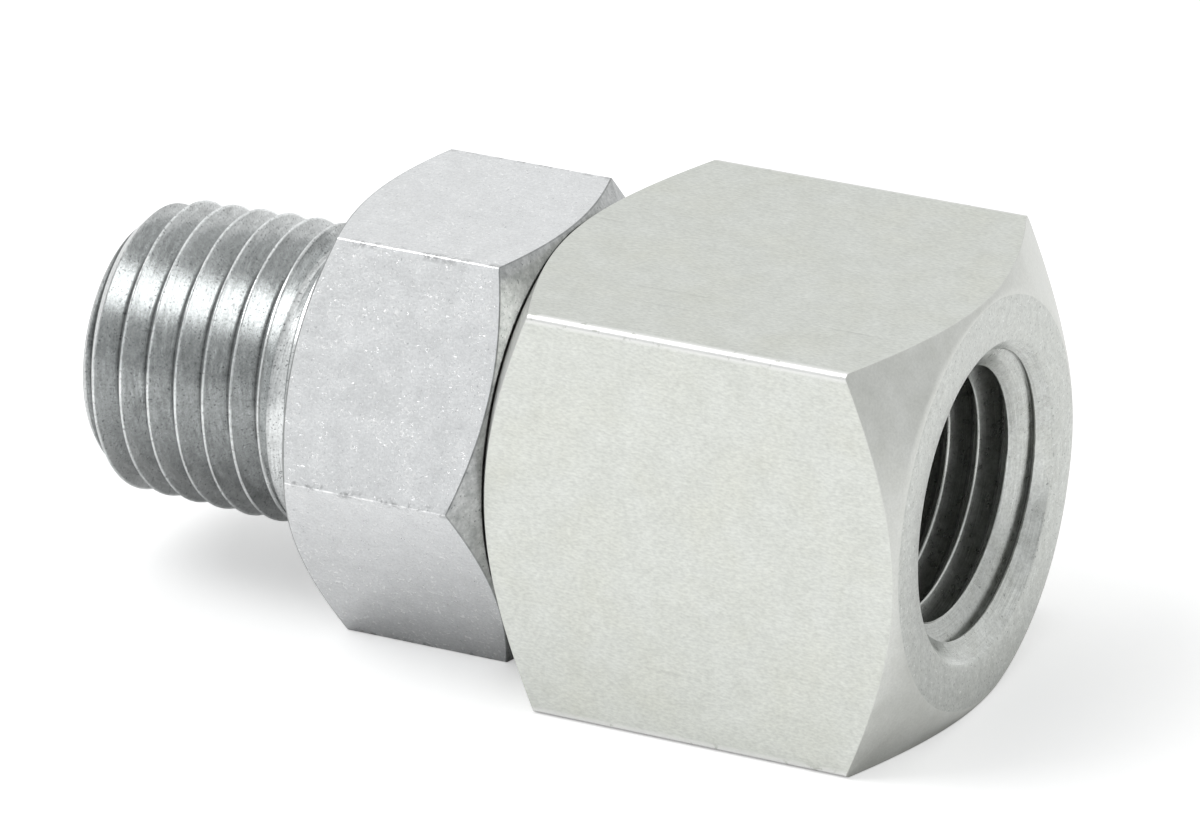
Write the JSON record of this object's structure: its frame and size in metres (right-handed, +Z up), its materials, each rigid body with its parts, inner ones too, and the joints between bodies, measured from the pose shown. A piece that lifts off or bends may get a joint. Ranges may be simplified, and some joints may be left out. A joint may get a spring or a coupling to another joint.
{
  "type": "swivel fitting",
  "caption": "Straight steel swivel fitting: a square housing with a female pipe thread turns freely on the ball-borne shank of a hex stem with a male pipe thread.",
  "frame": {"origin": "centre of the female port's end face, on the swivel axis", "axes": "+X along the swivel axis and out of the female port, -X out of the male thread, +Z up from the flats that both bars lie on"},
  "size_m": [0.0418, 0.022, 0.019],
  "materials": {
    "zinc_plated_housing": "clear zinc plate over a drawn and turned square bar, satin",
    "zinc_plated_stem": "clear zinc plate over a fine blasted hexagon, matt",
    "bearing_steel": "polished hardened steel",
    "black_oxide_screw": "black oxide, lightly oiled",
    "black_nitrile": "moulded nitrile rubber, matt",
    "white_ptfe": "cut PTFE, waxy"
  },
  "bodies": {
    "housing": {"swivel_housing": "zinc_plated_housing", "ball_port_plug": "black_oxide_screw"},
    "stem": {"hex_stem": "zinc_plated_stem", "seal_o_ring": "black_nitrile", "backup_ring": "white_ptfe", "dust_ring": "black_nitrile"},
    "ball_set": {"bearing_ball_01": "bearing_steel", "bearing_ball_02": "bearing_steel", "bearing_ball_03": "bearing_steel", "bearing_ball_04": "bearing_steel", "bearing_ball_05": "bearing_steel", "bearing_ball_06": "bearing_steel", "bearing_ball_07": "bearing_steel", "bearing_ball_08": "bearing_steel", "bearing_ball_09": "bearing_steel", "bearing_ball_10": "bearing_steel", "bearing_ball_11": "bearing_steel", "bearing_ball_12": "bearing_steel", "bearing_ball_13": "bearing_steel", "bearing_ball_14": "bearing_steel", "bearing_ball_15": "bearing_steel", "bearing_ball_16": "bearing_steel"}
  },
  "joints": [
    {"name": "swivel", "type": "hinge", "parent": "housing", "child": "stem", "pos_m": [-0.017, 0, 0], "axis": [1, 0, 0], "continuous": true},
    {"name": "ball_orbit", "type": "hinge", "parent": "housing", "child": "ball_set", "pos_m": [-0.017, 0, 0], "axis": [1, 0, 0], "continuous": true}
  ],
  "couplings": [
    {"joint": "ball_orbit", "follows": "swivel", "ratio": 0.433}
  ]
}
